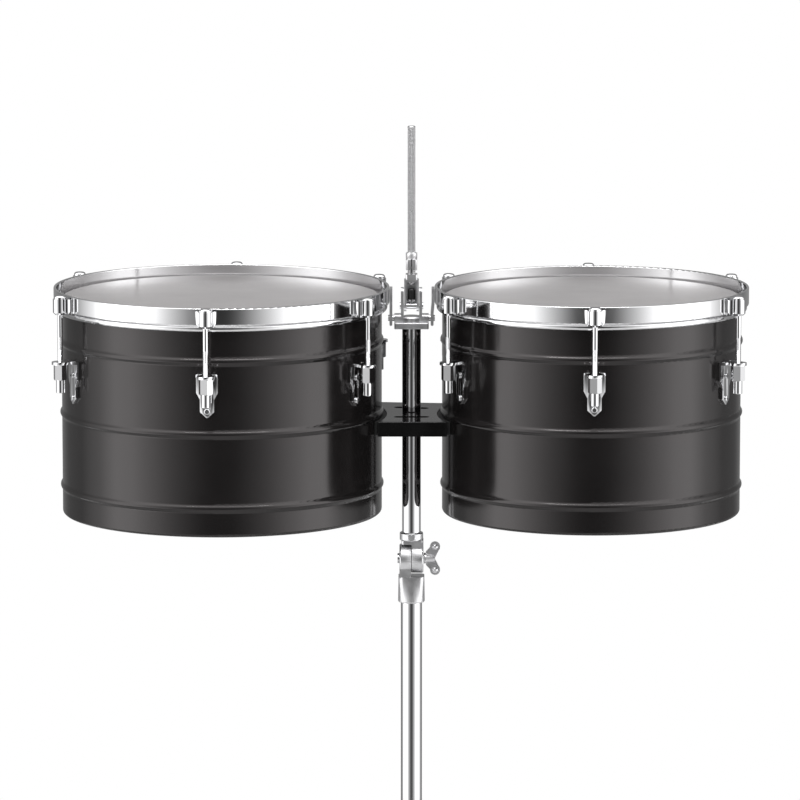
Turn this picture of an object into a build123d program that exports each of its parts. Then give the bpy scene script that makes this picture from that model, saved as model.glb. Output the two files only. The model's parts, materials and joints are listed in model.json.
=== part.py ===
from build123d import *

import math
import os

# A pair of timbales on a folding tripod stand. Two single-headed steel drums hang on one post, joined by a
# bridge low down and by two straps at the hoops. The post stands in a ratchet tilter on a telescoping tube.
# Millimetres, +Z up. The origin is on the floor, on the stand's axis. +X runs from the large drum to the
# small one, and -Y is the player's side.

os.makedirs("parts", exist_ok=True)

# Drums. Levels are heights above the floor.
RIM_Z = 1030.0
LARGE_R, SMALL_R = 190.5, 177.8  # 15 inch and 14 inch shells
LARGE_X, SMALL_X = -225.9, 214.3
LARGE_TURN, SMALL_TURN = -93.5, -90.6  # angle of the front lug, degrees from +X
WALL = 1.2
HEAD_Z = RIM_Z - 12.0
SHELL_TOP, SHELL_BOTTOM = HEAD_Z - 0.35, RIM_Z - 270.9
BEAD_LEVELS = (RIM_Z - 236.6, RIM_Z - 149.4, RIM_Z - 63.6)
BEAD_OUT, BEAD_HALF = 2.2, 6.0
EDGE_R, EDGE_LIP = 4.0, 3.5  # the sheet turns inwards at both ends
FILM, FILM_GAP = 0.3, 0.05
FLESH_TOP, FLESH_BOTTOM = RIM_Z - 20.2, RIM_Z - 28.2
FLESH_IN, FLESH_OUT = 0.75, 6.8  # beyond the shell's radius
HOOP_IN, HOOP_OUT = 5.6, 9.1

# Tuning hardware, six sets to a drum
LUGS = 6
ROD_OUT = 18.7  # the tension rods' circle, beyond the shell's radius
EAR_TOP, EAR_BOTTOM = RIM_Z - 3.0, RIM_Z - 21.6
EAR_R, EAR_BORE_R, EAR_TAPER = 8.2, 3.7, 2.6
WING_W, WING_TIP_W, WING_T = 25.5, 18.0, 5.0
HEAD_R, HEAD_TOP = 7.0, RIM_Z + 1.4
ROD_R, THREAD_R, ROD_END = 3.2, 3.0, RIM_Z - 110.0
ROD_STEP = RIM_Z - 48.0
LUG_TOP, LUG_TIP = RIM_Z - 77.5, RIM_Z - 129.5
LUG_W, LUG_NECK_W, LUG_T, FLANGE_T = 25.2, 16.6, 3.0, 3.2
LUG_GAP = 0.3
SCREW_LEVELS = (RIM_Z - 94.5, RIM_Z - 121.5)
SCREW_R, SCREW_HOLE_R = 2.0, 2.2
NUT_TOP, NUT_SHOULDER, NUT_END = LUG_TOP - FLANGE_T - 0.3, RIM_Z - 99.0, RIM_Z - 114.5
NUT_FLATS, NUT_SLEEVE_R, NUT_BORE_R = 14.5, 5.2, 3.1
NUT_TURN = 18.0  # how far the hexagons stand turned from the drum's radius, in degrees

# Bridge between the shells
BRIDGE_TOP, BRIDGE_BOTTOM = RIM_Z - 153.6, RIM_Z - 171.2
BRIDGE_FRONT, BRIDGE_BACK_LARGE, BRIDGE_BACK_SMALL = -66.0, 96.0, 76.0
BRIDGE_WALL = 4.0
SADDLE_IN, SADDLE_OUT = 0.3, 5.8
BOLT_R, BOLT_HOLE_R = 3.0, 3.2
BRIDGE_BOLT_Y = (-40.0, 46.0)
SLOT_L, SLOT_W = 42.0, 11.0

# Post, cap and cowbell holder
POST_R, POST_WALL = 11.1, 1.5
POST_TOP, POST_BOTTOM = RIM_Z - 50.0, RIM_Z - 307.5
CAP_HALF_X, CAP_HALF_Y, CAP_T = 20.4, 17.0, 7.2
CAP_SCREW_Z = RIM_Z - 38.6
STRAP_T, STRAP_HALF_W = 3.4, 12.0
STRAP_IN, STRAP_FOOT = 22.8, RIM_Z - 46.5  # the straps' inner faces stand off the cap's ends
BELL_PIVOT_Z, BELL_BOLT_R = RIM_Z - 24.0, 2.5
FORK_HALF, FORK_T = 12.6, 3.4
YOKE_HALF, YOKE_T = 8.7, 2.6
JAW_BOTTOM, JAW_TOP = RIM_Z + 5.0, RIM_Z + 14.0
JAW_BACK = 10.0
RUNNING = 0.06  # radial clearance of a pin in the bore it turns in
BELL_ROD_R, BELL_NECK_R, BELL_BORE_R = 4.75, 4.55, 4.65
BELL_ROD_TOP, BELL_ROD_BOTTOM = RIM_Z + 191.0, RIM_Z + 1.0
STOP_CAP_TOP, STOP_CAP_BOTTOM = RIM_Z - 3.0, RIM_Z - 16.0
STOP_CAP_R, STOP_RING_R = 4.5, 5.2
LOCK_TOP, LOCK_BOTTOM = RIM_Z + 39.6, RIM_Z + 19.4

# Tilter
TILT_Z = RIM_Z - 329.0
DRUM_R, DRUM_W, DRUM_GAP = 17.5, 14.0, 0.35
COLLAR_TOP, COLLAR_BOTTOM = RIM_Z - 297.0, RIM_Z - 306.8
SOCKET_R, SOCKET_BOTTOM = 16.0, RIM_Z - 382.0
SHOULDER_Z = TILT_Z - DRUM_R - 3.6  # where the lower casting turns from cheeks into socket
TILT_BOLT_R = 3.9

# Stand
UPPER_R, UPPER_WALL, UPPER_BOTTOM = 12.7, 1.5, 205.0
UPPER_TOP = SHOULDER_Z - 3.0
BASE_R, BASE_WALL = 14.3, 1.25
BASE_TOP, BASE_BOTTOM = 371.0, 26.0
CLAMP_R, CLAMP_TOP, CLAMP_BOTTOM = 19.5, 392.0, 350.0
HUB_Z, HUB_R, PIVOT_OUT = 310.0, 19.5, 27.5
LEG_ANGLES = (90.0, 210.0, 330.0)
LEG_SPREAD = 49.0  # degrees from vertical
LEG_END_Z = 38.0
LEG_L = (HUB_Z - LEG_END_Z) / math.cos(math.radians(LEG_SPREAD))
STRIP_W, STRIP_T, STRIP_IN = 16.0, 2.5, 7.0
BRACE_L, BRACE_W, BRACE_T = 130.0, 13.0, 6.0
COLLAR_SCREW_ANGLE = -90.0
COLLAR_Z = HUB_Z - 2 * BRACE_L * math.cos(math.radians(LEG_SPREAD))
PIN_R, BRACE_PIN_R = 3.0, 2.5
FOOT_TOP, FOOT_R, FOOT_PIN_R = 27.0, 13.0, 6.0

UP = (Align.CENTER, Align.CENTER, Align.MIN)


def rod(radius, low, high, x=0.0, y=0.0):
    return Pos(x, y, low) * Cylinder(radius, high - low, align=UP)


def tube(outer, inner, low, high, x=0.0, y=0.0):
    return rod(outer, low, high, x, y) - rod(inner, low - 1, high + 1, x, y)


def rod_x(radius, x0, x1, z, y=0.0):
    """A rod along X. Its two ends may be in either order."""
    return Pos(min(x0, x1), y, z) * Rot(0, 90, 0) * Cylinder(radius, abs(x1 - x0), align=UP)


def rod_y(radius, front, back, z, x=0.0):
    return Pos(x, front, z) * Rot(-90, 0, 0) * Cylinder(radius, back - front, align=UP)


def block(x0, x1, y0, y1, z0, z1):
    """A box between two corners. The two X values may be in either order."""
    return Pos((x0 + x1) / 2, (y0 + y1) / 2, (z0 + z1) / 2) * Box(abs(x1 - x0), y1 - y0, z1 - z0)


def spun(*edges):
    """A solid of revolution about Z from edges drawn in the XZ plane."""
    return revolve(make_face(edges), Axis.Z)


def at(radius, level):
    return (radius, 0, level)


def hexagon(flats, low, high, x=0.0, y=0.0):
    return Pos(x, y, low) * extrude(RegularPolygon(flats / 2, 6, major_radius=False), high - low)


def round_ends(shape, axis, radius):
    """The shape with its edges at both ends along the axis rounded."""
    faces = shape.faces().sort_by(axis)
    return fillet(faces[0].edges() + faces[-1].edges(), radius)


def on_drum(shape, centre_x, angle=0.0):
    return Pos(centre_x, 0, 0) * Rot(0, 0, angle) * shape


def lug_angles(turn):
    return [turn + 360 / LUGS * i for i in range(LUGS)]


def save(name, *shapes):
    solids = [solid for shape in shapes for solid in shape.solids()]
    export_step(solids[0] if len(solids) == 1 else Compound(solids), f"parts/{name}.step")


# ---- Shell and head


def bead_arcs(radius, level, offset):
    """Three tangent arcs of one rolled bead, from below to above, on the wall's surface at that offset."""
    bend = (BEAD_HALF**2 + BEAD_OUT**2) / (4 * BEAD_OUT)
    turn = math.asin(BEAD_HALF / (2 * bend))

    def flank(side, angle):
        reach = bend - offset
        return at(
            radius + bend - reach * math.cos(angle),
            level + side * (BEAD_HALF - reach * math.sin(angle)),
        )

    return [
        ThreePointArc(flank(-1, 0), flank(-1, turn / 2), flank(-1, turn)),
        ThreePointArc(flank(-1, turn), at(radius + BEAD_OUT + offset, level), flank(1, turn)),
        ThreePointArc(flank(1, turn), flank(1, turn / 2), flank(1, 0)),
    ]


def wall_path(radius, offset):
    """The wall's surface from its lower lip to its upper lip. Offset 0 is outside, -WALL is inside."""
    turn_in = radius - EDGE_R
    diagonal = (EDGE_R + offset) * math.sqrt(0.5)
    low, high = SHELL_BOTTOM + EDGE_R, SHELL_TOP - EDGE_R
    edges = [
        Line(at(turn_in - EDGE_LIP, SHELL_BOTTOM - offset), at(turn_in, SHELL_BOTTOM - offset)),
        ThreePointArc(
            at(turn_in, SHELL_BOTTOM - offset),
            at(turn_in + diagonal, low - diagonal),
            at(radius + offset, low),
        ),
    ]
    below = low
    for level in BEAD_LEVELS:
        edges.append(Line(at(radius + offset, below), at(radius + offset, level - BEAD_HALF)))
        edges.extend(bead_arcs(radius, level, offset))
        below = level + BEAD_HALF
    edges += [
        Line(at(radius + offset, below), at(radius + offset, high)),
        ThreePointArc(
            at(radius + offset, high),
            at(turn_in + diagonal, high + diagonal),
            at(turn_in, SHELL_TOP + offset),
        ),
        Line(at(turn_in, SHELL_TOP + offset), at(turn_in - EDGE_LIP, SHELL_TOP + offset)),
    ]
    return edges


def shell(radius, turn, bridge_side):
    """The steel wall with its beads, turned-in edges and bolt holes, about its own axis."""
    lip = radius - EDGE_R - EDGE_LIP
    wall = spun(
        *wall_path(radius, 0),
        *wall_path(radius, -WALL),
        Line(at(lip, SHELL_BOTTOM), at(lip, SHELL_BOTTOM + WALL)),
        Line(at(lip, SHELL_TOP), at(lip, SHELL_TOP - WALL)),
    )
    drill = [
        Rot(0, 0, angle) * rod_x(SCREW_HOLE_R, radius - 9, radius + 9, level)
        for angle in lug_angles(turn)
        for level in SCREW_LEVELS
    ]
    drill += [
        Rot(0, 0, angle) * rod_x(BOLT_HOLE_R, radius - 9, radius + 9, bridge_bolt_z())
        for angle in bridge_bolt_angles(radius, bridge_side)
    ]
    return wall - drill


def drumhead(radius):
    """The film over the bearing edge, down to inside the flesh hoop."""
    inner, outer = radius + FILM_GAP, radius + FILM_GAP + FILM
    turn_in, turn_z = radius - EDGE_R, SHELL_TOP - EDGE_R
    under, over = EDGE_R + FILM_GAP, EDGE_R + FILM_GAP + FILM
    low, half = FLESH_BOTTOM + 1.5, math.sqrt(0.5)
    return spun(
        Line(at(0, turn_z + under), at(turn_in, turn_z + under)),
        ThreePointArc(
            at(turn_in, turn_z + under),
            at(turn_in + under * half, turn_z + under * half),
            at(inner, turn_z),
        ),
        Line(at(inner, turn_z), at(inner, low)),
        Line(at(inner, low), at(outer, low)),
        Line(at(outer, low), at(outer, turn_z)),
        ThreePointArc(
            at(outer, turn_z),
            at(turn_in + over * half, turn_z + over * half),
            at(turn_in, turn_z + over),
        ),
        Line(at(turn_in, turn_z + over), at(0, turn_z + over)),
        Line(at(0, turn_z + over), at(0, turn_z + under)),
    )


def flesh_hoop(radius):
    """The rolled ring that pulls the film down, half round on its outside."""
    ring = tube(radius + FLESH_OUT, radius + FLESH_IN, FLESH_BOTTOM, FLESH_TOP)
    outer = ring.edges().filter_by(GeomType.CIRCLE).sort_by(SortBy.LENGTH)[-2:]
    return fillet(outer, 3.7)


# ---- Counterhoop, rods, lugs and nuts


def hoop_ear(radius):
    """A formed ear on the hoop's face: a tapered barrel between two flared wings."""
    face = radius + HOOP_OUT
    x = radius + ROD_OUT
    half, tip = WING_W / 2, WING_TIP_W / 2
    outline = [
        (face - 1.5, -half, EAR_TOP),
        (face - 1.5, half, EAR_TOP),
        (face - 1.5, half - 1.5, EAR_BOTTOM + 4),
        (face - 1.5, tip, EAR_BOTTOM),
        (face - 1.5, -tip, EAR_BOTTOM),
        (face - 1.5, 1.5 - half, EAR_BOTTOM + 4),
    ]
    wings = extrude(make_face(Polyline(*outline, close=True)), 1.5 + WING_T, dir=(1, 0, 0))
    for side in (-1, 1):
        wings -= rod(WING_T + 0.2, EAR_BOTTOM - 1, EAR_TOP + 1, face + WING_T + 1.8, side * (half + 0.6))
    barrel = rod(EAR_R, EAR_BOTTOM + EAR_TAPER, EAR_TOP, x)
    foot = Pos(x, 0, EAR_BOTTOM) * Cone(EAR_R - EAR_TAPER, EAR_R, EAR_TAPER, align=UP)
    return wings + barrel + foot


def counterhoop(radius, turn):
    """A flat steel hoop with six formed ears for the tension rods."""
    hoop = tube(radius + HOOP_OUT, radius + HOOP_IN, FLESH_TOP + 0.1, RIM_Z)
    hoop = fillet(hoop.edges().filter_by(GeomType.CIRCLE), 1.1)
    ear = hoop_ear(radius) - rod(radius + HOOP_IN + 1.5, FLESH_BOTTOM, RIM_Z)
    ear -= rod(radius + FLESH_OUT + 0.4, FLESH_BOTTOM, FLESH_TOP + 0.4)
    bore = rod(EAR_BORE_R, EAR_BOTTOM - 1, EAR_TOP + 1, radius + ROD_OUT)
    angles = lug_angles(turn)
    hoop = hoop + [Rot(0, 0, a) * ear for a in angles]
    return hoop - [Rot(0, 0, a) * bore for a in angles]


def tension_rod(radius):
    """A plain shank with a domed head, threaded below."""
    x = radius + ROD_OUT
    head = rod(HEAD_R, EAR_TOP, HEAD_TOP, x)
    head = fillet(head.edges().filter_by(GeomType.CIRCLE).sort_by(Axis.Z)[-1], 3.0)
    shank = rod(ROD_R, ROD_STEP, EAR_TOP, x)
    thread = rod(THREAD_R, ROD_END, ROD_STEP, x)
    return head + shank + thread


def lug(radius):
    """A pressed bracket: a shield-shaped plate on the shell and a flange that the tension rod passes."""
    x = radius + ROD_OUT
    half, neck = LUG_W / 2, LUG_NECK_W / 2
    outline = [
        (-half, LUG_TOP),
        (half, LUG_TOP),
        (half, LUG_TOP - 22),
        (neck, LUG_TOP - 30),
        (neck, LUG_TIP + 7.5),
        (0, LUG_TIP),
        (-neck, LUG_TIP + 7.5),
        (-neck, LUG_TOP - 30),
        (-half, LUG_TOP - 22),
    ]
    face = make_face(Polyline(*[(radius - 12, y, z) for y, z in outline], close=True))
    face = fillet(face.vertices().sort_by(Axis.Z)[:-2], 2.0)
    plate = extrude(face, 24, dir=(1, 0, 0))
    plate = plate & tube(radius + LUG_GAP + LUG_T, radius + LUG_GAP, LUG_TIP - 5, LUG_TOP + 5)
    flange = block(radius - 2, x, -LUG_W / 2, LUG_W / 2, LUG_TOP - FLANGE_T, LUG_TOP)
    end = rod(10.2, LUG_TOP - FLANGE_T, LUG_TOP, x)
    corners = [
        Pos(x, side * LUG_W / 2, LUG_TOP - 5) * Rot(0, 0, side * 16) * Box(34, 5.6, 20)
        for side in (-1, 1)
    ]
    flange = (flange - corners) + end
    flange = flange - rod(radius + LUG_GAP, LUG_TOP - 9, LUG_TOP + 9)
    bracket = plate + flange
    bracket -= rod(ROD_R + 0.4, LUG_TOP - 9, LUG_TOP + 9, x)
    return bracket - [rod_x(SCREW_HOLE_R, radius - 2, radius + 9, level) for level in SCREW_LEVELS]


def lug_screw(radius, level):
    """A cross-recessed screw, its head on the lug's plate."""
    seat = radius + LUG_GAP + LUG_T
    head = rod_x(3.6, seat, seat + 2.2, level)
    head = fillet(head.edges().filter_by(GeomType.CIRCLE).sort_by(Axis.X)[-1], 1.4)
    cross = block(seat + 1.1, seat + 3, -0.5, 0.5, level - 1.9, level + 1.9)
    cross += block(seat + 1.1, seat + 3, -1.9, 1.9, level - 0.5, level + 0.5)
    return (head - cross) + rod_x(SCREW_R, radius - 7.5, seat, level)


def lug_screw_nut(radius, level):
    """The nut and washer inside the shell, in one piece."""
    washer = rod_x(4.6, radius - WALL - 1.6, radius - WALL - 0.4, level)
    body = Pos(radius - WALL - 4.8, 0, level) * Rot(0, 90, 0) * hexagon(7, 0, 3.2)
    return washer + body - rod_x(SCREW_R + 0.1, radius - 12, radius, level)


def tuning_nut(radius):
    """A long hexagon nut with a round sleeve below."""
    x = radius + ROD_OUT
    body = Pos(x, 0, 0) * Rot(0, 0, NUT_TURN) * hexagon(NUT_FLATS, NUT_SHOULDER, NUT_TOP)
    cone = Pos(x, 0, NUT_SHOULDER) * Cone(NUT_FLATS / 2 + 0.2, NUT_FLATS / 2 + 6.2, 6, align=UP)
    crown = Pos(x, 0, NUT_TOP - 6) * Cone(NUT_FLATS / 2 + 6.2, NUT_FLATS / 2 + 0.2, 6, align=UP)
    body = body & (cone + rod(NUT_FLATS, NUT_SHOULDER + 6, NUT_TOP - 6, x) + crown)
    sleeve = rod(NUT_SLEEVE_R, NUT_END, NUT_SHOULDER, x)
    sleeve = fillet(sleeve.edges().filter_by(GeomType.CIRCLE).sort_by(Axis.Z)[0], 0.8)
    return body + sleeve - rod(NUT_BORE_R, NUT_END - 1, NUT_TOP + 1, x)


def save_drum(name, radius, centre_x, turn, bridge_side):
    angles = lug_angles(turn)
    save(f"{name}_shell", on_drum(shell(radius, turn, bridge_side), centre_x))
    save(f"{name}_drumhead", on_drum(drumhead(radius), centre_x))
    save(f"{name}_flesh_hoop", on_drum(flesh_hoop(radius), centre_x))
    save(f"{name}_counterhoop", on_drum(counterhoop(radius, turn), centre_x))
    one_rod, one_lug, one_nut = tension_rod(radius), lug(radius), tuning_nut(radius)
    save(f"{name}_tension_rods", *[on_drum(one_rod, centre_x, a) for a in angles])
    save(f"{name}_lugs", *[on_drum(one_lug, centre_x, a) for a in angles])
    fasteners = [make(radius, z) for make in (lug_screw, lug_screw_nut) for z in SCREW_LEVELS]
    save(f"{name}_lug_screws", *[on_drum(f, centre_x, a) for f in fasteners for a in angles])
    for i, angle in enumerate(angles, 1):
        save(f"{name}_tuning_nut_{i}", on_drum(one_nut, centre_x, angle))


# ---- Bridge


def bridge_bolt_z():
    return (BRIDGE_TOP + BRIDGE_BOTTOM) / 2


def bridge_bolt_angles(radius, side):
    """The bolts' angles about a drum's axis. Side is 1 where the bridge is on the drum's +X side."""
    angles = [math.degrees(math.asin(y / radius)) for y in BRIDGE_BOLT_Y]
    return angles if side > 0 else [180 - a for a in angles]


def bridge_plan(inset):
    """The bridge's plan, inset from its front and back edges, wide enough to reach into both shells."""
    return [
        (-90.0, BRIDGE_FRONT + inset),
        (90.0, BRIDGE_FRONT + inset),
        (90.0, BRIDGE_BACK_SMALL - inset),
        (-90.0, BRIDGE_BACK_LARGE - inset),
    ]


def prism(points, low, high):
    return extrude(Pos(0, 0, low) * make_face(Polyline(*points, close=True)), high - low)


def bridge():
    """A tray with its open side down. Its ends follow the shells, and a boss holds the post."""
    body = prism(bridge_plan(0), BRIDGE_BOTTOM, BRIDGE_TOP)
    hollow = prism(bridge_plan(BRIDGE_WALL), BRIDGE_BOTTOM - 5, BRIDGE_TOP - BRIDGE_WALL)
    drums = ((LARGE_R, LARGE_X), (SMALL_R, SMALL_X))
    for radius, x in drums:
        body -= rod(radius + SADDLE_OUT + 0.1, BRIDGE_BOTTOM - 1, BRIDGE_TOP + 1, x)
        hollow -= rod(radius + SADDLE_OUT + BRIDGE_WALL, BRIDGE_BOTTOM - 9, BRIDGE_TOP + 1, x)
    body = fillet(body.edges().filter_by(Axis.Z), 1.5)
    body = fillet(body.faces().sort_by(Axis.Z)[-1].edges(), 1.2)
    spine = block(-11, 11, 0, 82, BRIDGE_BOTTOM, BRIDGE_TOP - 2)
    tray = (body - hollow) + rod(19, BRIDGE_BOTTOM, BRIDGE_TOP - 2) + spine
    tray -= rod(POST_R + 0.1, BRIDGE_BOTTOM - 1, BRIDGE_TOP + 1)
    slope = math.degrees(math.atan2(BRIDGE_BACK_SMALL - BRIDGE_BACK_LARGE, 88))
    for y, turn in ((-27.0, 0.0), (44.0, slope)):
        slot = extrude(SlotOverall(SLOT_L, SLOT_W), 3 * BRIDGE_WALL, both=True)
        tray -= Pos(0, y, BRIDGE_TOP) * Rot(0, 0, turn) * slot
    for z in (BRIDGE_BOTTOM + 5, BRIDGE_TOP - 7):
        tray -= rod_y(2.6, 10, 99, z)
    for (radius, x), side in zip(drums, (1, -1)):
        for angle in bridge_bolt_angles(radius, side):
            hole = rod_x(BOLT_HOLE_R, radius - 9, radius + 16, bridge_bolt_z())
            tray -= on_drum(hole, x, angle)
    return tray


def saddle(radius, centre_x, side):
    """A curved pad between a shell and the bridge's end."""
    ring = tube(radius + SADDLE_OUT, radius + SADDLE_IN, BRIDGE_BOTTOM + 0.8, BRIDGE_TOP - 1.5)
    front, back = BRIDGE_FRONT + 9, (BRIDGE_BACK_LARGE if side > 0 else BRIDGE_BACK_SMALL) - 9
    near, far = (0, radius + 20) if side > 0 else (-radius - 20, 0)
    pad = ring & block(near, far, front, back, BRIDGE_BOTTOM - 9, BRIDGE_TOP + 9)
    for angle in bridge_bolt_angles(radius, side):
        pad -= Rot(0, 0, angle) * rod_x(BOLT_HOLE_R, radius - 9, radius + 16, bridge_bolt_z())
    return on_drum(pad, centre_x)


def bridge_bolt(radius):
    """A hexagon bolt from inside the shell, with its washer and the nut in the bridge."""
    z = bridge_bolt_z()
    inside = radius - WALL - 0.4
    reach = radius + SADDLE_OUT + BRIDGE_WALL
    head = Pos(inside - 5.5, 0, z) * Rot(0, 90, 0) * hexagon(10, 0, 4)
    return head + rod_x(7, inside - 1.5, inside, z) + rod_x(BOLT_R, inside, reach + 2, z)


def bridge_key_screw(z):
    """A square-headed screw that grips the post from the bridge's back."""
    back = (BRIDGE_BACK_LARGE + BRIDGE_BACK_SMALL) / 2 + 0.4
    head = block(-3, 3, back + 1.2, back + 9, z - 3, z + 3)
    collar = rod_y(4.6, back, back + 1.3, z)
    return head + collar + rod_y(2.5, POST_R + 0.3, back, z)


def save_bridge():
    save("bridge", bridge())
    save("bridge_saddles", saddle(LARGE_R, LARGE_X, 1), saddle(SMALL_R, SMALL_X, -1))
    bolts = []
    for radius, x, side in ((LARGE_R, LARGE_X, 1), (SMALL_R, SMALL_X, -1)):
        bolts += [on_drum(bridge_bolt(radius), x, a) for a in bridge_bolt_angles(radius, side)]
    save("bridge_bolts", *bolts, *[bridge_key_screw(z) for z in (BRIDGE_BOTTOM + 5, BRIDGE_TOP - 7)])


# ---- Post, cap, hoop straps and cowbell holder


def post():
    return tube(POST_R, POST_R - POST_WALL, POST_BOTTOM, POST_TOP)


def post_cap():
    """A plate on the post's top, with a spigot inside the tube and the fork of the cowbell holder."""
    low, high = POST_TOP, POST_TOP + CAP_T
    plate = block(-CAP_HALF_X, CAP_HALF_X, -CAP_HALF_Y, CAP_HALF_Y, low, high)
    plate = fillet(plate.edges().filter_by(Axis.Z), 2.0)
    plate = round_ends(plate, Axis.Z, 0.8)
    boss = rod(12.2, high - 1, high + 7)
    boss = fillet(boss.edges().filter_by(GeomType.CIRCLE).sort_by(Axis.Z)[-1], 3.0)
    cap = plate + boss + rod(POST_R - POST_WALL - 0.1, low - 26, low)
    for side in (-1, 1):
        ear = block(side * (FORK_HALF - FORK_T), side * FORK_HALF, -7.5, 7.5, high - 1, RIM_Z - 2)
        cap += fillet(ear.edges().filter_by(Axis.X).sort_by(Axis.Z)[-2:], 5.0)
        lug_block = block(side * FORK_HALF, side * CAP_HALF_X, -8, 8, high - 1, CAP_SCREW_Z + 5)
        cap += fillet(lug_block.edges().filter_by(Axis.X).sort_by(Axis.Z)[-2:], 3.0)
    cap -= rod_x(BELL_BOLT_R + RUNNING, -40, 40, BELL_PIVOT_Z)
    return cap - [rod_x(2.2, side * 13, side * 30, CAP_SCREW_Z) for side in (-1, 1)]


def strap(side):
    """A steel strap from the cap's end to a counterhoop's face. Side is -1 at the large drum."""
    drum_x, radius = (LARGE_X, LARGE_R) if side < 0 else (SMALL_X, SMALL_R)
    top = abs(drum_x - side * (radius + HOOP_OUT + 0.15))
    foot = STRAP_IN + STRAP_T
    outline = [
        (STRAP_IN, STRAP_FOOT),
        (foot, STRAP_FOOT),
        (foot, CAP_SCREW_Z + 6),
        (top, FLESH_TOP - 1),
        (top, RIM_Z - 2.5),
        (top - STRAP_T, RIM_Z - 2.5),
        (top - STRAP_T, FLESH_TOP - 1),
        (STRAP_IN, CAP_SCREW_Z + 6),
    ]
    side_view = make_face(Polyline(*[(side * x, -STRAP_HALF_W, z) for x, z in outline], close=True))
    body = extrude(side_view, 2 * STRAP_HALF_W, dir=(0, 1, 0))
    body = fillet(body.edges().filter_by(Axis.Y).sort_by(Axis.Z)[:2], 1.4)
    return body - rod_x(2.2, side * 10, side * 40, CAP_SCREW_Z)


def strap_screw(side):
    """The screw through a strap and its spacer into the cap's end."""
    seat = STRAP_IN + STRAP_T
    head = rod_x(3.6, side * seat, side * (seat + 1.6), CAP_SCREW_Z)
    spacer = rod_x(3.8, side * (CAP_HALF_X + 0.05), side * (STRAP_IN - 0.05), CAP_SCREW_Z)
    return head + spacer + rod_x(2.1, side * 14, side * seat, CAP_SCREW_Z)


def bell_clamp():
    """A yoke, closed at the back, that tilts in the fork. The socket on its roof holds the rod."""
    arms = [
        block(side * (YOKE_HALF - YOKE_T), side * YOKE_HALF, -6.5, 6.5, BELL_PIVOT_Z - 6.5, RIM_Z + 7)
        for side in (-1, 1)
    ]
    arms = [fillet(a.edges().filter_by(Axis.X).sort_by(Axis.Z)[:2], 6.0) for a in arms]
    roof = block(-YOKE_HALF, YOKE_HALF, -6.5, 6.5, JAW_BOTTOM, RIM_Z + 8)
    jaws = block(-6.9, 6.9, -6.5, JAW_BACK, JAW_BOTTOM, JAW_TOP)
    jaws = fillet(jaws.edges().filter_by(Axis.Z), 2.0)
    web = block(-YOKE_HALF, YOKE_HALF, STOP_RING_R + 0.1, 6.5, BELL_PIVOT_Z - 4, RIM_Z + 7)
    clamp = jaws + roof + web + arms - rod(BELL_BORE_R, JAW_BOTTOM - 1, JAW_TOP + 1)
    clamp -= rod_x(BELL_BOLT_R + RUNNING, -40, 40, BELL_PIVOT_Z)
    return clamp - rod_y(2.1 + RUNNING, 0, 40, (JAW_BOTTOM + JAW_TOP) / 2)


def bell_pivot_bolt():
    """The pin through fork and yoke, with its two heads, its spacer and the stud of the rod's stop."""
    seat = FORK_HALF + 0.1
    z = BELL_PIVOT_Z
    heads = [rod_x(4.0, side * seat, side * (seat + 1.2), z) for side in (-1, 1)]
    spacer_half = YOKE_HALF - YOKE_T - 0.2
    spacer = rod_x(3.6, -spacer_half, spacer_half, z)
    stud = rod(2.6, z, STOP_CAP_BOTTOM + 5)
    ring = rod(STOP_RING_R, STOP_CAP_BOTTOM - 2.6, STOP_CAP_BOTTOM - 0.1)
    return rod_x(BELL_BOLT_R, -seat, seat, z) + heads + spacer + stud + ring


def bell_stop_cap():
    """The black cap under the rod's end."""
    body = rod(STOP_CAP_R, STOP_CAP_BOTTOM, STOP_CAP_TOP)
    body = fillet(body.edges().filter_by(GeomType.CIRCLE).sort_by(Axis.Z)[-1], 2.4)
    return body - rod(2.65, STOP_CAP_BOTTOM - 1, STOP_CAP_BOTTOM + 5.2)


def bell_clamp_screw():
    """The drum-key screw at the back of the socket, its point on the rod."""
    z = (JAW_BOTTOM + JAW_TOP) / 2
    head = block(-2.6, 2.6, JAW_BACK + 2.0, JAW_BACK + 7.5, z - 2.6, z + 2.6)
    collar = rod_y(3.4, JAW_BACK + 0.4, JAW_BACK + 2.0, z)
    return head + collar + rod_y(2.1, BELL_BORE_R + 0.2, JAW_BACK + 0.4, z)


def bell_rod():
    """The straight cowbell rod. Its free length is a hair thicker than the length in the clamp."""
    free = rod(BELL_ROD_R, LOCK_TOP, BELL_ROD_TOP)
    free = chamfer(free.edges().filter_by(GeomType.CIRCLE).sort_by(Axis.Z)[-1], 1.0)
    held = rod(BELL_NECK_R, BELL_ROD_BOTTOM, LOCK_TOP)
    return free + fillet(held.edges().filter_by(GeomType.CIRCLE).sort_by(Axis.Z)[0], 2.5)


def bell_lock():
    """The memory lock on the cowbell rod: a ring above a split clamp, closed by a screw."""
    ring = rod(6.8, LOCK_TOP - 6.4, LOCK_TOP)
    lower = block(-6.6, 6.6, -7.6, 6.6, LOCK_BOTTOM, LOCK_TOP - 7.4)
    lower = fillet(lower.edges().filter_by(Axis.Z), 2.4)
    neck = rod(6.0, LOCK_TOP - 8, LOCK_TOP - 6)
    body = ring + lower + neck - rod(BELL_NECK_R + 0.02, LOCK_BOTTOM - 1, LOCK_TOP + 1)
    body -= block(-0.7, 0.7, -9, 0, LOCK_BOTTOM - 1, LOCK_TOP - 7.4)
    return body


def save_post():
    save("post", post())
    save("post_cap", post_cap())
    save("hoop_straps", strap(-1), strap(1))
    save("strap_screws", strap_screw(-1), strap_screw(1))
    save("bell_clamp", bell_clamp())
    save("bell_pivot_bolt", bell_pivot_bolt())
    save("bell_clamp_screw", bell_clamp_screw())
    save("bell_rod", bell_rod())
    save("bell_stop_cap", bell_stop_cap())
    save("bell_rod_lock", bell_lock())


# ---- Tilter


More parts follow.
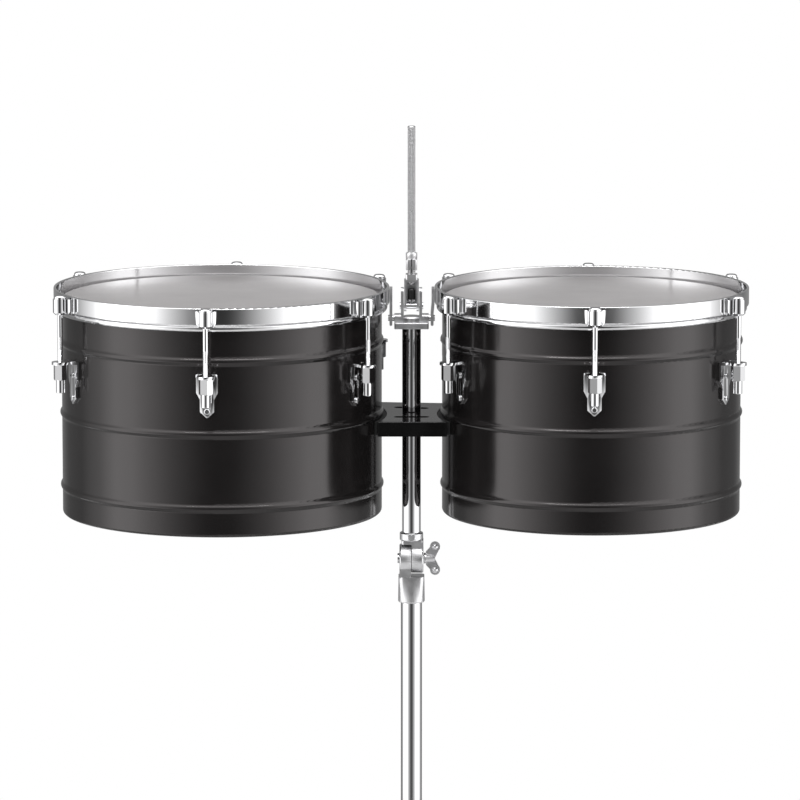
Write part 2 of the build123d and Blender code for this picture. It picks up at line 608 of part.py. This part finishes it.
def tilter_upper():
    """The upper casting: a collar round the post's foot and the right-hand ratchet drum."""
    collar = round_ends(rod(14.0, COLLAR_BOTTOM, COLLAR_TOP), Axis.Z, 1.6)
    body = block(-12.0, DRUM_GAP + DRUM_W, -11.5, 11.5, TILT_Z + DRUM_R + 0.6, COLLAR_BOTTOM + 1)
    body = fillet(body.edges().filter_by(Axis.Z), 3.0)
    cheek = block(DRUM_GAP, DRUM_GAP + DRUM_W, -11.5, 11.5, TILT_Z, TILT_Z + DRUM_R + 3)
    drum = rod_x(DRUM_R, DRUM_GAP, DRUM_GAP + DRUM_W, TILT_Z)
    drum = fillet(drum.edges().filter_by(GeomType.CIRCLE).sort_by(Axis.X)[-1], 2.0)
    boss = round_ends(rod_y(4.4, -17.0, -10, (COLLAR_TOP + COLLAR_BOTTOM) / 2), Axis.Y, 0.8)
    casting = collar + boss + body + cheek + drum
    casting -= rod(POST_R + 0.1, POST_BOTTOM - 0.2, COLLAR_TOP + 1)
    return casting - rod_x(TILT_BOLT_R + RUNNING, -30, 30, TILT_Z)


def tilter_lower():
    """The lower casting: the left-hand ratchet drum above a socket for the upper tube."""
    drum = rod_x(DRUM_R, -DRUM_GAP - DRUM_W, -DRUM_GAP, TILT_Z)
    drum = fillet(drum.edges().filter_by(GeomType.CIRCLE).sort_by(Axis.X)[0], 2.0)
    cheek = block(-DRUM_GAP - DRUM_W, -DRUM_GAP, -13.5, 13.5, SHOULDER_Z - 1, TILT_Z)
    low = SOCKET_BOTTOM
    socket = Pos(0, 0, low) * loft(
        Sketch() + [Circle(SOCKET_R), Pos(0, 0, SHOULDER_Z - low) * RectangleRounded(31, 29, 6)]
    )
    socket = fillet(socket.faces().sort_by(Axis.Z)[0].edges(), 2.0)
    casting = drum + cheek + socket
    casting -= rod_x(DRUM_R + 1.0, -DRUM_GAP, 20, TILT_Z)
    casting -= rod(UPPER_R + 0.1, low - 1, UPPER_TOP)
    return casting - rod_x(TILT_BOLT_R + 0.1, -30, 30, TILT_Z)


def tilter_bolt():
    seat = DRUM_GAP + DRUM_W + 0.1
    head = rod_x(6.0, -seat - 2.2, -seat, TILT_Z)
    return head + rod_x(TILT_BOLT_R, -seat, seat + 11, TILT_Z)


def wing_nut(bore):
    """A two-lobed wing nut on the X axis, its base at x = 0 and its wings up and down."""
    hub = rod_x(6.4, 0, 4, 0) + rod_x(4.9, 4, 13.5, 0)
    lobes = []
    for side in (-1, 1):
        arm = make_face(
            Polyline(
                (3.0, 0, 0),
                (13.0, 0, 0),
                (17.5, 0, side * 9),
                (9.0, 0, side * 15),
                (2.6, 0, side * 8),
                close=True,
            )
        )
        lobes.append(Pos(0, -1.7, 0) * extrude(arm, 3.4, dir=(0, 1, 0)))
        lobes.append(rod_y(6.0, -2.3, 2.3, side * 14.0, 13.5))
        lobes.append(Pos(13.5, 0, side * 14.0) * Sphere(4.2))
    nut = hub + lobes
    return nut - rod_x(bore, -1, 12.5, 0)


def wing_screw(length):
    """The same wings on a threaded shank that points along -X from x = 0."""
    return wing_nut(0.5) + rod_x(3.9, -length, 12.5, 0)


def save_tilter():
    save("tilter_upper", tilter_upper())
    save("tilter_lower", tilter_lower())
    save("tilter_bolt", tilter_bolt())
    seat = DRUM_GAP + DRUM_W + 0.4
    save("tilter_wing_nut", Pos(seat, 0, TILT_Z) * wing_nut(TILT_BOLT_R + RUNNING))


# ---- Stand


def height_clamp():
    """The casting on the base tube's top: it holds the bushing and the height screw."""
    shelf = BASE_TOP + 1.0
    body = round_ends(rod(CLAMP_R, CLAMP_BOTTOM, CLAMP_TOP), Axis.Z, 1.5)
    boss = rod_x(9.0, 10, 27, CLAMP_TOP - 11)
    body = body + boss
    body -= rod(BASE_R + 0.05, CLAMP_BOTTOM - 1, BASE_TOP + 0.2)
    body -= rod(13.1, BASE_TOP - 1, shelf + 1)
    body -= rod(16.1, shelf, CLAMP_TOP + 1)
    return body - rod_x(4.1, 15, 30, CLAMP_TOP - 11)


def height_bushing():
    return tube(15.8, UPPER_R + 0.1, BASE_TOP + 1.3, CLAMP_TOP + 1.5)


def leg_hub():
    """The fixed collar that the legs hang on, with one lug and one pivot pin for each leg."""
    hub = round_ends(rod(HUB_R, HUB_Z - 16, HUB_Z + 16), Axis.Z, 1.5)
    for angle in LEG_ANGLES:
        ear = block(12, PIVOT_OUT, -6.4, 6.4, HUB_Z - 8, HUB_Z + 8) + rod_y(8, -6.4, 6.4, HUB_Z, PIVOT_OUT)
        pin = rod_y(PIN_R, -11.5, 11.5, HUB_Z, PIVOT_OUT)
        heads = [rod_y(4.6, y, y + 1.6, HUB_Z, PIVOT_OUT) for y in (-11.5, 9.9)]
        hub = hub + [Rot(0, 0, angle) * shape for shape in (ear, pin, *heads)]
    return hub - rod(BASE_R + 0.02, HUB_Z - 20, HUB_Z + 20)


def leg():
    """Two flat strips from the hub's pin to a foot block, along +X, with the brace's rivet heads."""
    spread = math.radians(LEG_SPREAD)
    end_x = PIVOT_OUT + LEG_L * math.sin(spread)
    place = Pos(PIVOT_OUT, 0, HUB_Z) * Rot(0, 90 - LEG_SPREAD, 0)
    outer = STRIP_IN + STRIP_T
    strip_plane = Plane(origin=(LEG_L / 2, STRIP_IN, 0), x_dir=(1, 0, 0), z_dir=(0, 1, 0))
    strip = extrude(strip_plane * SlotCenterToCenter(LEG_L, STRIP_W), STRIP_T)
    rivet = rod_y(4.5, outer, outer + 1.4, 0, BRACE_L)
    side = place * ((strip + rivet) - rod_y(PIN_R + RUNNING, 0, 20, 0))
    foot_block = rod_y(7.5, -STRIP_IN, STRIP_IN, LEG_END_Z, end_x)
    foot_pin = rod(FOOT_PIN_R, 9.5, LEG_END_Z, end_x)
    return side + mirror(side, Plane.XZ) + foot_block + foot_pin


def foot():
    """The rubber foot on a leg's pin."""
    x = PIVOT_OUT + LEG_L * math.sin(math.radians(LEG_SPREAD))
    body = Cone(FOOT_R, FOOT_R - 3, FOOT_TOP, align=UP)
    body = fillet(body.edges().filter_by(GeomType.CIRCLE), 1.5)
    return Pos(x, 0, 0) * (body - rod(FOOT_PIN_R + 0.05, 9.4, FOOT_TOP + 1))


def brace():
    """A flat bar from the sliding collar up to the middle of a leg, along +X."""
    plane = Plane(origin=(BRACE_L / 2, -BRACE_T / 2, 0), x_dir=(1, 0, 0), z_dir=(0, 1, 0))
    bar = extrude(plane * SlotCenterToCenter(BRACE_L, BRACE_W), BRACE_T)
    bar -= [rod_y(BRACE_PIN_R + RUNNING, -9, 9, 0, x) for x in (0, BRACE_L)]
    return Pos(PIVOT_OUT, 0, COLLAR_Z) * Rot(0, LEG_SPREAD - 90, 0) * bar


def brace_collar():
    """The sliding collar, with a clevis and pin for each brace and a boss for its screw."""
    collar = round_ends(rod(HUB_R, COLLAR_Z - 13, COLLAR_Z + 13), Axis.Z, 1.5)
    for angle in LEG_ANGLES:
        for y in (-6.3, 3.3):
            ear = block(12, PIVOT_OUT, y, y + 3, COLLAR_Z - 7, COLLAR_Z + 7)
            ear += rod_y(7, y, y + 3, COLLAR_Z, PIVOT_OUT)
            collar += Rot(0, 0, angle) * ear
        collar += Rot(0, 0, angle) * rod_y(BRACE_PIN_R, -6.3, 6.3, COLLAR_Z, PIVOT_OUT)
        gap = block(HUB_R + 0.3, PIVOT_OUT + 9, -3.3, 3.3, COLLAR_Z - 9, COLLAR_Z + 9)
        gap -= rod_y(BRACE_PIN_R, -9, 9, COLLAR_Z, PIVOT_OUT)
        collar -= Rot(0, 0, angle) * gap
    collar += Rot(0, 0, COLLAR_SCREW_ANGLE) * rod_x(8.0, 10, 26, COLLAR_Z)
    collar -= rod(BASE_R + 0.15, COLLAR_Z - 20, COLLAR_Z + 20)
    return collar - Rot(0, 0, COLLAR_SCREW_ANGLE) * rod_x(4.1, 10, 30, COLLAR_Z)


def save_stand():
    save("upper_tube", tube(UPPER_R, UPPER_R - UPPER_WALL, UPPER_BOTTOM, UPPER_TOP - 0.2))
    save("base_tube", tube(BASE_R, BASE_R - BASE_WALL, BASE_BOTTOM, BASE_TOP))
    save("height_clamp", height_clamp())
    save("height_bushing", height_bushing())
    save("height_wing_screw", Pos(27.4, 0, CLAMP_TOP - 11) * wing_screw(10.5))
    save("leg_hub", leg_hub())
    save("brace_collar", brace_collar())
    collar_screw = Pos(26.4, 0, COLLAR_Z) * wing_screw(11)
    save("collar_wing_screw", Rot(0, 0, COLLAR_SCREW_ANGLE) * collar_screw)
    one_leg, one_foot, one_brace = leg(), foot(), brace()
    for i, angle in enumerate(LEG_ANGLES, 1):
        save(f"leg_{i}", Rot(0, 0, angle) * one_leg)
        save(f"foot_{i}", Rot(0, 0, angle) * one_foot)
        save(f"brace_{i}", Rot(0, 0, angle) * one_brace)


save_drum("large", LARGE_R, LARGE_X, LARGE_TURN, 1)
save_drum("small", SMALL_R, SMALL_X, SMALL_TURN, -1)
save_bridge()
save_post()
save_tilter()
save_stand()
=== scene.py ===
import json
import math

import bmesh
import bpy
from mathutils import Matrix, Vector


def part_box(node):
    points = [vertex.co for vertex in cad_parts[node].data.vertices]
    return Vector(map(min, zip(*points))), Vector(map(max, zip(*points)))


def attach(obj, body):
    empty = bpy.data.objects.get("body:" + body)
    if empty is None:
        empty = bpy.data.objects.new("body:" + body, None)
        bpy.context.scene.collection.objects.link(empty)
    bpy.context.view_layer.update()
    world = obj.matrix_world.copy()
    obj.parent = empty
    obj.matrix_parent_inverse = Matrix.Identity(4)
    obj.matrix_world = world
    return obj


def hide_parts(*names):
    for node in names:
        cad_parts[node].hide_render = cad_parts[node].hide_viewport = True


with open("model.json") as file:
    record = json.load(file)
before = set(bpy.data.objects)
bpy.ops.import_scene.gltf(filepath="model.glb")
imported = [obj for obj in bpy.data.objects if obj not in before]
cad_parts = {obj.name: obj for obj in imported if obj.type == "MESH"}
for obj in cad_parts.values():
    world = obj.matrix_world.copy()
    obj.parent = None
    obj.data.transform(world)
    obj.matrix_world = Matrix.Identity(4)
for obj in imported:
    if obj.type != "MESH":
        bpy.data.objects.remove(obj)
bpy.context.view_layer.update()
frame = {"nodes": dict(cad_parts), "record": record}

# Driving sizes, in metres. Levels and radii that the frame holds are read from it below.
RIM_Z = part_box("large_counterhoop")[1].z
DRUM_NAMES = ("large", "small")
LUGS = 6
THREAD_ROOT_R, THREAD_CREST_R, THREAD_PITCH = 0.003, 0.00325, 0.0011
THREAD_FLANK = 0.42  # half a thread's width at its root, in pitches
THREAD_START = 0.048  # below the rims, where the rods' plain shanks end
THREAD_STEPS = 14  # in each turn
KNURL_DEPTH, KNURL_LENGTH, KNURL_STARTS = 0.00045, 0.0026, 16
KNURL_SLOPE = 1.6  # above 1, so that the knurl's crests are flat
ROD_SIDES, ROD_STEP = 96, 0.0004
ROD_HELD_STEP = 0.0002  # how much thinner the rod is where its lock holds it
TEETH, TEETH_INNER_R, TEETH_OUTER_R = 40, 0.0075, 0.0172
TILT_GAP = 0.00035  # half the gap between the tilter's two drums
RIB_LEVELS, RIB_DEPTH, RIB_HALF_HEIGHT = (0.006, 0.0105, 0.015), 0.0006, 0.0009
RIB_RISE = 0.0002  # of a rib's centre line off the foot's side
FOOT_TAPER = 0.003  # how much narrower a foot is at its top
RIB_SIDES, RIB_SECTION_SIDES = 48, 8
FINE_EDGE, CASTING_EDGE = 0.0005, 0.0006
WELD_GAP = 0.000002
SHARP_ANGLE = math.radians(40)

# The camera and the stage.
LENS_MM, SENSOR_MM = 274.9, 36.0
CAMERA_X, CAMERA_DISTANCE, CAMERA_RISE = -0.0137, 7.2, 0.972
CAMERA_PITCH = 8.76  # degrees below level
FLOOR_R, FLOOR_SIDES = 1.55, 128

# ---- Camera


def add_camera():
    """A long lens, in front and a little above the rims."""
    camera = bpy.data.objects.new("camera", bpy.data.cameras.new("camera"))
    bpy.context.scene.collection.objects.link(camera)
    camera.data.lens = LENS_MM
    camera.data.sensor_width = SENSOR_MM
    camera.data.clip_end = 100.0
    camera.location = (CAMERA_X, -CAMERA_DISTANCE, RIM_Z + CAMERA_RISE)
    camera.rotation_euler = (math.radians(90 - CAMERA_PITCH), 0, 0)
    bpy.context.scene.camera = camera


# ---- Stage


def add_floor():
    """A pale round floor, small enough that the drums reflect the room and not the floor."""
    mesh = bpy.data.meshes.new("floor")
    shape = bmesh.new()
    bmesh.ops.create_circle(shape, cap_ends=True, segments=FLOOR_SIDES, radius=FLOOR_R)
    shape.to_mesh(mesh)
    shape.free()
    floor = bpy.data.objects.new("floor", mesh)
    bpy.context.scene.collection.objects.link(floor)
    paper = Finish("floor_paper")
    paper.colour(paper.noise(scale=30, detail=4), dark=(0.50, 0.50, 0.50), light=(0.53, 0.53, 0.53))
    paper.shader.inputs["Roughness"].default_value = 0.85
    paper.shader.inputs["Specular IOR Level"].default_value = 0.1
    mesh.materials.append(paper.material)


def add_area(name, place, aim, size, power):
    """A rectangular soft light of so many watts, turned to face a point."""
    light = bpy.data.lights.new(name, "AREA")
    light.shape = "RECTANGLE"
    light.size, light.size_y = size
    light.energy = power
    lamp = bpy.data.objects.new(name, light)
    bpy.context.scene.collection.objects.link(lamp)
    lamp.location = place
    lamp.rotation_euler = (Vector(aim) - Vector(place)).to_track_quat("-Z", "Y").to_euler()


def add_lights():
    """A white backdrop, two lights overhead, and a room dark in front and bright at each side."""
    world = bpy.data.worlds.new("studio")
    bpy.context.scene.world = world
    world.use_nodes = True
    nodes, links = world.node_tree.nodes, world.node_tree.links
    nodes.clear()
    out = nodes.new("ShaderNodeOutputWorld")
    room = nodes.new("ShaderNodeBackground")
    backdrop = nodes.new("ShaderNodeBackground")
    mix = nodes.new("ShaderNodeMixShader")
    path = nodes.new("ShaderNodeLightPath")
    coords = nodes.new("ShaderNodeTexCoord")
    split = nodes.new("ShaderNodeSeparateXYZ")
    shift = nodes.new("ShaderNodeMapRange")
    ramp = nodes.new("ShaderNodeValToRGB")
    links.new(coords.outputs["Generated"], split.inputs[0])
    links.new(split.outputs["Y"], shift.inputs["Value"])
    shift.inputs["From Min"].default_value = -1.0
    links.new(shift.outputs["Result"], ramp.inputs["Fac"])
    # From the camera's side (0) to the backdrop (1): how bright the room is, against its brightest.
    room_levels = [
        (0.0, 0.01),
        (0.006, 0.016),
        (0.016, 0.05),
        (0.045, 0.17),
        (0.095, 0.34),
        (0.17, 0.62),
        (0.3, 1.0),
        (0.42, 1.0),
        (0.56, 0.45),
        (0.74, 0.13),
        (0.9, 0.08),
        (1.0, 0.12),
    ]
    stops = ramp.color_ramp.elements
    while len(stops) < len(room_levels):
        stops.new(0.5)
    for stop, (position, level) in zip(stops, room_levels):
        stop.position = position
        stop.color = (level, level, level, 1)
    links.new(ramp.outputs["Color"], room.inputs["Color"])
    room.inputs["Strength"].default_value = 2.5
    backdrop.inputs["Strength"].default_value = 1.0
    backdrop.inputs["Color"].default_value = (1, 1, 1, 1)
    links.new(path.outputs["Is Camera Ray"], mix.inputs["Fac"])
    links.new(room.outputs[0], mix.inputs[1])
    links.new(backdrop.outputs[0], mix.inputs[2])
    links.new(mix.outputs[0], out.inputs["Surface"])
    centre = (0, 0, RIM_Z - 0.1)
    add_area("top_box", place=(-0.4, -0.6, 3.6), aim=centre, size=(2.6, 1.8), power=14)
    add_area("top_strip", place=(0, -1.35, 3.4), aim=centre, size=(2.3, 0.14), power=18)
    bpy.context.scene.view_settings.view_transform = "Standard"


# ---- Materials

NOISE_LOW, NOISE_HIGH = 0.3, 0.7  # the range that a noise texture's factor mostly keeps to


class Finish:
    """A material being made, with its nodes, links and shader."""

    def __init__(self, name):
        self.material = bpy.data.materials.new(name)
        self.material.use_nodes = True
        self.nodes, self.links = self.material.node_tree.nodes, self.material.node_tree.links
        self.shader = self.nodes["Principled BSDF"]

    def noise(self, scale, detail):
        """The factor of a noise texture in object space, in metres."""
        coords = self.nodes.new("ShaderNodeTexCoord")
        texture = self.nodes.new("ShaderNodeTexNoise")
        texture.inputs["Scale"].default_value = scale
        texture.inputs["Detail"].default_value = detail
        self.links.new(coords.outputs["Object"], texture.inputs["Vector"])
        return texture.outputs["Fac"]

    def stretch(self, source, bottom, top, low=0.0, high=1.0):
        """Maps a value from bottom to top onto low to high."""
        span = self.nodes.new("ShaderNodeMapRange")
        span.inputs["From Min"].default_value = bottom
        span.inputs["From Max"].default_value = top
        span.inputs["To Min"].default_value = low
        span.inputs["To Max"].default_value = high
        self.links.new(source, span.inputs["Value"])
        return span.outputs["Result"]

    def colour(self, source, dark, light):
        """The base colour, from dark where the source is low to light where it is high."""
        ramp = self.nodes.new("ShaderNodeValToRGB")
        ends = zip(ramp.color_ramp.elements, (NOISE_LOW, NOISE_HIGH), (dark, light))
        for stop, position, shade in ends:
            stop.position = position
            stop.color = (*shade, 1)
        self.links.new(source, ramp.inputs["Fac"])
        self.links.new(ramp.outputs["Color"], self.shader.inputs["Base Color"])

    def roughness(self, source, low, high):
        result = self.stretch(source, NOISE_LOW, NOISE_HIGH, low, high)
        self.links.new(result, self.shader.inputs["Roughness"])

    def bump(self, source, strength, distance):
        node = self.nodes.new("ShaderNodeBump")
        node.inputs["Strength"].default_value = strength
        node.inputs["Distance"].default_value = distance
        self.links.new(source, node.inputs["Height"])
        self.links.new(node.outputs["Normal"], self.shader.inputs["Normal"])

    def metal(self):
        self.shader.inputs["Metallic"].default_value = 1.0


def black_powder_coat():
    coat = Finish("black_powder_coat")
    fine = coat.noise(scale=900, detail=3)
    broad = coat.noise(scale=14, detail=3)
    coat.colour(broad, dark=(0.0075, 0.0068, 0.0068), light=(0.0095, 0.0086, 0.0086))
    coat.roughness(broad, low=0.13, high=0.18)
    coat.bump(fine, strength=0.07, distance=0.00015)
    coat.shader.inputs["Specular Tint"].default_value = (1.0, 0.95, 0.95, 1)
    return coat.material


def chrome():
    plate = Finish("chrome_plate")
    cloud = plate.noise(scale=60, detail=4)
    haze = plate.noise(scale=8, detail=3)
    plate.metal()
    plate.colour(haze, dark=(0.74, 0.74, 0.75), light=(0.8, 0.8, 0.81))
    plate.roughness(cloud, low=0.035, high=0.07)
    plate.bump(cloud, strength=0.05, distance=0.00012)
    return plate.material


def cast_chrome():
    casting = Finish("chrome_casting")
    orange_peel = casting.noise(scale=420, detail=2)
    cloud = casting.noise(scale=90, detail=4)
    casting.metal()
    casting.colour(cloud, dark=(0.68, 0.68, 0.69), light=(0.76, 0.76, 0.77))
    casting.roughness(cloud, low=0.32, high=0.4)
    casting.bump(orange_peel, strength=0.12, distance=0.00025)
    return casting.material


def screw_steel():
    steel = Finish("screw_steel")
    turned = steel.noise(scale=700, detail=3)
    steel.metal()
    steel.colour(turned, dark=(0.55, 0.55, 0.56), light=(0.68, 0.68, 0.69))
    steel.roughness(turned, low=0.14, high=0.24)
    steel.bump(turned, strength=0.15, distance=0.0001)
    return steel.material


def drumhead_film():
    film = Finish("drumhead_film")
    coat = film.noise(scale=1400, detail=3)
    cloud = film.noise(scale=9, detail=3)
    film.colour(cloud, dark=(0.275, 0.265, 0.265), light=(0.3, 0.29, 0.29))
    film.roughness(cloud, low=0.2, high=0.27)
    film.bump(coat, strength=0.08, distance=0.0001)
    return film.material


def satin_black():
    paint = Finish("satin_black_paint")
    peel = paint.noise(scale=500, detail=2)
    cloud = paint.noise(scale=40, detail=3)
    paint.colour(cloud, dark=(0.004, 0.004, 0.004), light=(0.007, 0.007, 0.007))
    paint.roughness(cloud, low=0.11, high=0.17)
    paint.shader.inputs["Specular IOR Level"].default_value = 0.3
    paint.bump(peel, strength=0.06, distance=0.00015)
    return paint.material


def black_rubber():
    rubber = Finish("black_rubber")
    grain = rubber.noise(scale=1100, detail=5)
    rubber.colour(grain, dark=(0.012, 0.012, 0.012), light=(0.02, 0.02, 0.02))
    rubber.roughness(grain, low=0.6, high=0.75)
    rubber.bump(grain, strength=0.3, distance=0.0003)
    return rubber.material


def black_nylon():
    nylon = Finish("black_nylon")
    grain = nylon.noise(scale=800, detail=4)
    nylon.colour(grain, dark=(0.006, 0.006, 0.006), light=(0.01, 0.01, 0.01))
    nylon.roughness(grain, low=0.26, high=0.36)
    nylon.bump(grain, strength=0.12, distance=0.0002)
    return nylon.material


def knurled_steel():
    """Steel with painted shade in its knurl's grooves, found by the surface's pointiness, and its
    own colour on the crests.
    """
    steel = Finish("knurled_steel")
    grime = steel.noise(scale=300, detail=5)
    steel.metal()
    form = steel.nodes.new("ShaderNodeNewGeometry")
    # Painted shade: where pointiness is low, in the knurl's grooves, the colour goes dark; the
    # crests keep the steel's colour.
    painted_groove_shade = steel.stretch(form.outputs["Pointiness"], bottom=0.46, top=0.53)
    steel.colour(painted_groove_shade, dark=(0.1, 0.1, 0.1), light=(0.66, 0.66, 0.67))
    steel.roughness(grime, low=0.16, high=0.28)
    steel.bump(grime, strength=0.1, distance=0.0001)
    return steel.material


def dress_nodes():
    """Every CAD node takes the material of its slot."""
    chrome_plate = chrome()
    by_slot = {
        "black_shell": black_powder_coat(),
        "drumhead_film": drumhead_film(),
        "flesh_hoop_chrome": chrome_plate,
        "chrome": chrome_plate,
        "cast_chrome": cast_chrome(),
        "screw_steel": screw_steel(),
        "knurled_steel": knurled_steel(),
        "black_bridge": satin_black(),
        "rubber": black_rubber(),
        "black_plastic": black_nylon(),
    }
    # These two are plated, but as dull as the castings.
    dull = ("post_cap", "hoop_straps")
    for row in frame["record"]["subparts"]:
        node = frame["nodes"][row["node"]]
        node.data.materials.clear()
        slot = "cast_chrome" if row["node"] in dull else row["material_slot"]
        node.data.materials.append(by_slot[slot])
    return by_slot


# ---- Detail pieces


def middle(node):
    """The plan position of a CAD node's centre."""
    low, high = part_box(node)
    return (low.x + high.x) / 2, (low.y + high.y) / 2


def add_piece(name, shape, slot, body):
    """A finished mesh from a bmesh, in its slot's material, moving with a CAD body."""
    bmesh.ops.recalc_face_normals(shape, faces=shape.faces)
    mesh = bpy.data.meshes.new(name)
    shape.to_mesh(mesh)
    shape.free()
    mesh.materials.append(MATERIALS[slot])
    piece = bpy.data.objects.new(name, mesh)
    bpy.context.scene.collection.objects.link(piece)
    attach(piece, body)
    return piece


def join_rings(shape, rings, closed=True):
    """Quads between each ring of vertices and the next."""
    for below, above in zip(rings, rings[1:]):
        pairs = list(zip(below, above))
        following = pairs[1:] + pairs[:1] if closed else pairs[1:]
        for (a, b), (d, c) in zip(pairs, following):
            shape.faces.new((a, d, c, b))


def on_circle(shape, centre, radius, angle, z):
    """A new vertex on a level circle."""
    x, y = centre
    return shape.verts.new((x + radius * math.cos(angle), y + radius * math.sin(angle), z))


def add_threads(drum):
    """The rolled threads on a drum's tension rods, from the plain shanks down to the nuts."""
    flank = THREAD_PITCH * THREAD_FLANK
    profile = ((THREAD_ROOT_R, flank), (THREAD_CREST_R, 0), (THREAD_ROOT_R, -flank))
    shape = bmesh.new()
    for i in range(1, LUGS + 1):
        nut = f"{drum}_tuning_nut_{i}"
        centre = middle(nut)
        top, bottom = RIM_Z - THREAD_START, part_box(nut)[1].z + THREAD_PITCH
        ridges = []
        for step in range(int((top - bottom) / THREAD_PITCH * THREAD_STEPS)):
            angle = math.tau * step / THREAD_STEPS
            z = top - THREAD_PITCH * step / THREAD_STEPS
            ridges.append([on_circle(shape, centre, r, angle, z + rise) for r, rise in profile])
        join_rings(shape, ridges, closed=False)
    add_piece(f"{drum}_rod_threads", shape, "chrome", "drums")


def knurl(angle, z):
    """How deep a diamond knurl cuts, from 0 on a crest to 1 in a groove."""
    turns = angle / math.tau * KNURL_STARTS
    cuts = [abs((turns + side * z / KNURL_LENGTH) % 1 - 0.5) * 2 for side in (-1, 1)]
    return max(0.0, 1 - min(cuts) * KNURL_SLOPE)


def rod_levels(low, high, lock_top):
    """The cowbell rod's outline from its rounded lower end up.

    Each level is its height, its radius and whether it is knurled.
    """
    tip, chamfer = 0.0025, 0.001
    radius = (high.x - low.x) / 2
    held_r = radius - ROD_HELD_STEP
    shoulder = lock_top + chamfer
    rows = int((high.z - 2 * chamfer - lock_top) / ROD_STEP)
    return [
        (low.z, held_r - tip, False),
        (low.z + 0.0008, held_r - 0.0009, False),
        (low.z + tip, held_r, False),
        (lock_top, held_r, False),
        (lock_top, radius, False),
        (shoulder, radius, False),
        *((shoulder + i * ROD_STEP, radius, True) for i in range(1, rows)),
        (high.z - chamfer, radius, False),
        (high.z, radius - chamfer, False),
    ]


def add_knurled_rod():
    """The cowbell rod, with a diamond knurl pressed into its free length above the lock."""
    low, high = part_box("bell_rod")
    centre = middle("bell_rod")
    shape = bmesh.new()
    rings = []
    for z, radius, cut in rod_levels(low, high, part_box("bell_rod_lock")[1].z):
        ring = []
        for i in range(ROD_SIDES):
            angle = math.tau * i / ROD_SIDES
            reach = radius - (KNURL_DEPTH * knurl(angle, z) if cut else 0)
            ring.append(on_circle(shape, centre, reach, angle, z))
        rings.append(ring)
    join_rings(shape, rings)
    shape.faces.new(rings[0])
    shape.faces.new(rings[-1])
    rod = add_piece("knurled_cowbell_rod", shape, "knurled_steel", "bell_rod")
    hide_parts("bell_rod")


def add_crown_teeth(name, side, body):
    """The radial teeth on one of the tilter's drums. Side is -1 on the lower casting."""
    low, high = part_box("tilter_bolt")
    axis_z = (low.z + high.z) / 2
    shape = bmesh.new()
    spokes = []
    for i in range(2 * TEETH):
        angle = math.tau * (i + (side > 0)) / (2 * TEETH)
        # A valley lies on the drum's face, and a crest reaches nearly to the middle of the gap.
        x = side * TILT_GAP * (1.0 if i % 2 else 0.1)
        spokes.append(
            [
                shape.verts.new((x, r * math.cos(angle), axis_z + r * math.sin(angle)))
                for r in (TEETH_INNER_R, TEETH_OUTER_R)
            ]
        )
    join_rings(shape, spokes + spokes[:1], closed=False)
    add_piece(name, shape, "cast_chrome", body)


def add_foot_ribs(i):
    """Moulded ribs round a rubber foot."""
    low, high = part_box(f"foot_{i}")
    centre = middle(f"foot_{i}")
    base_r, height = (high.x - low.x) / 2 + RIB_RISE, high.z - low.z
    section = [math.tau * k / RIB_SECTION_SIDES for k in range(RIB_SECTION_SIDES)]
    shape = bmesh.new()
    for level in RIB_LEVELS:
        path_r = base_r - FOOT_TAPER * level / height
        rings = []
        for step in range(RIB_SIDES):
            angle = math.tau * step / RIB_SIDES
            rings.append(
                [
                    on_circle(
                        shape,
                        centre,
                        path_r + RIB_DEPTH * math.cos(turn),
                        angle,
                        low.z + level + RIB_HALF_HEIGHT * math.sin(turn),
                    )
                    for turn in section
                ]
            )
        join_rings(shape, rings + rings[:1])
    add_piece(f"foot_{i}_ribs", shape, "rubber", f"leg_{i}")


def round_edges(nodes, width):
    """Rounds the sharp edges of these CAD nodes a little, so that they catch the light."""
    for name in nodes:
        node = frame["nodes"][name]
        weld = node.modifiers.new("weld", "WELD")
        weld.merge_threshold = WELD_GAP
        bevel = node.modifiers.new("edge", "BEVEL")
        bevel.width = width
        bevel.segments = 2
        bevel.limit_method = "ANGLE"
        bevel.angle_limit = SHARP_ANGLE
        bevel.harden_normals = True


add_camera()
add_floor()
add_lights()
MATERIALS = dress_nodes()
for drum in DRUM_NAMES:
    add_threads(drum)
add_knurled_rod()
add_crown_teeth("tilter_teeth_lower", -1, "mast")
add_crown_teeth("tilter_teeth_upper", 1, "drums")
for leg in (1, 2, 3):
    add_foot_ribs(leg)
round_edges(("large_lugs", "small_lugs", "hoop_straps", "post_cap"), FINE_EDGE)
round_edges(("bell_clamp", "bell_rod_lock"), FINE_EDGE)
round_edges(("tilter_upper", "tilter_lower"), CASTING_EDGE)
round_edges(("height_clamp", "leg_hub", "brace_collar"), CASTING_EDGE)
round_edges(("tilter_wing_nut", "height_wing_screw", "collar_wing_screw"), FINE_EDGE)
round_edges(("leg_1", "leg_2", "leg_3"), FINE_EDGE)
